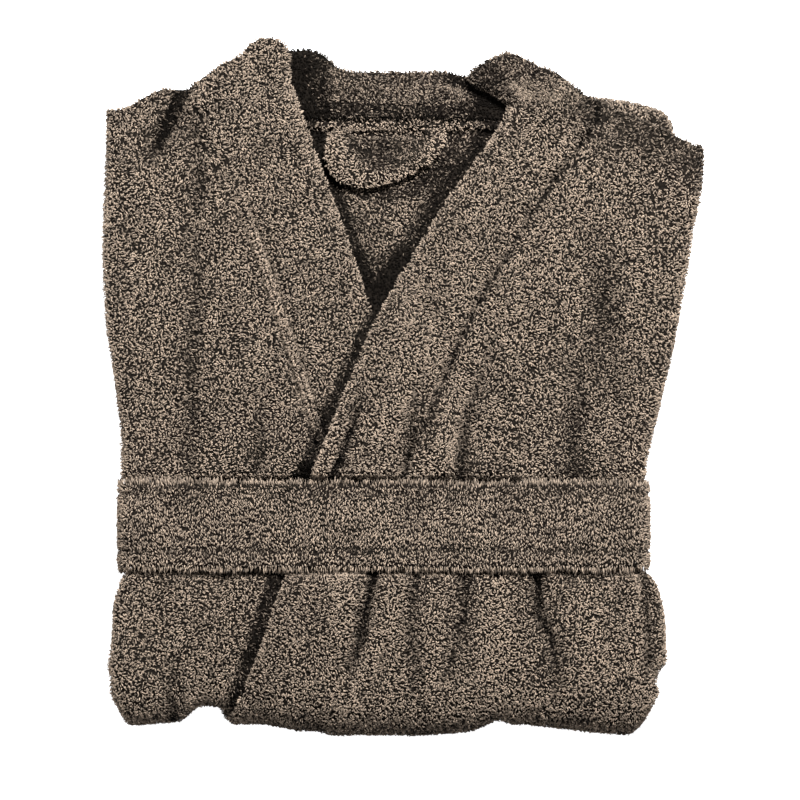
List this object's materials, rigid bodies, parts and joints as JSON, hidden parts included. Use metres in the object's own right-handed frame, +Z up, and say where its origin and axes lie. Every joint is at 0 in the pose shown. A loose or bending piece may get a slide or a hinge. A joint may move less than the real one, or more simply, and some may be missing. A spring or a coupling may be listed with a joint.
{
  "type": "bathrobe",
  "caption": "Terry bathrobe folded into a flat rectangular pack, face up, with a shawl collar, a hanger loop and a belt wound around it.",
  "frame": {"origin": "middle of the pack's bounding box on the surface that it lies on", "axes": "+Z up out of the pack, +Y from the bottom fold to the collar, +X towards the wearer's left side as it lies face up"},
  "size_m": [0.396, 0.462, 0.0652],
  "materials": {
    "terry": "looped terry, matte"
  },
  "bodies": {
    "robe": {"back_panel": "terry", "front_panel_right": "terry", "front_band_right": "terry", "front_panel_left": "terry", "front_band_left": "terry", "sleeve_left": "terry", "sleeve_right": "terry", "collar_back": "terry", "neck_tape": "terry", "belt_loop_left": "terry", "belt_loop_right": "terry"},
    "hanger_loop": {"hanger_loop": "terry"},
    "belt": {"belt": "terry"}
  },
  "joints": [
    {"name": "hanger_loop_lift", "type": "hinge", "parent": "robe", "child": "hanger_loop", "pos_m": [-0.0125, 0.171, 0.05144], "axis": [-1, 0, 0], "range_deg": [0, 90]},
    {"name": "belt_slide", "type": "slide", "parent": "robe", "child": "belt", "axis": [0, 1, 0], "range_m": [-0.003, 0.003]}
  ]
}
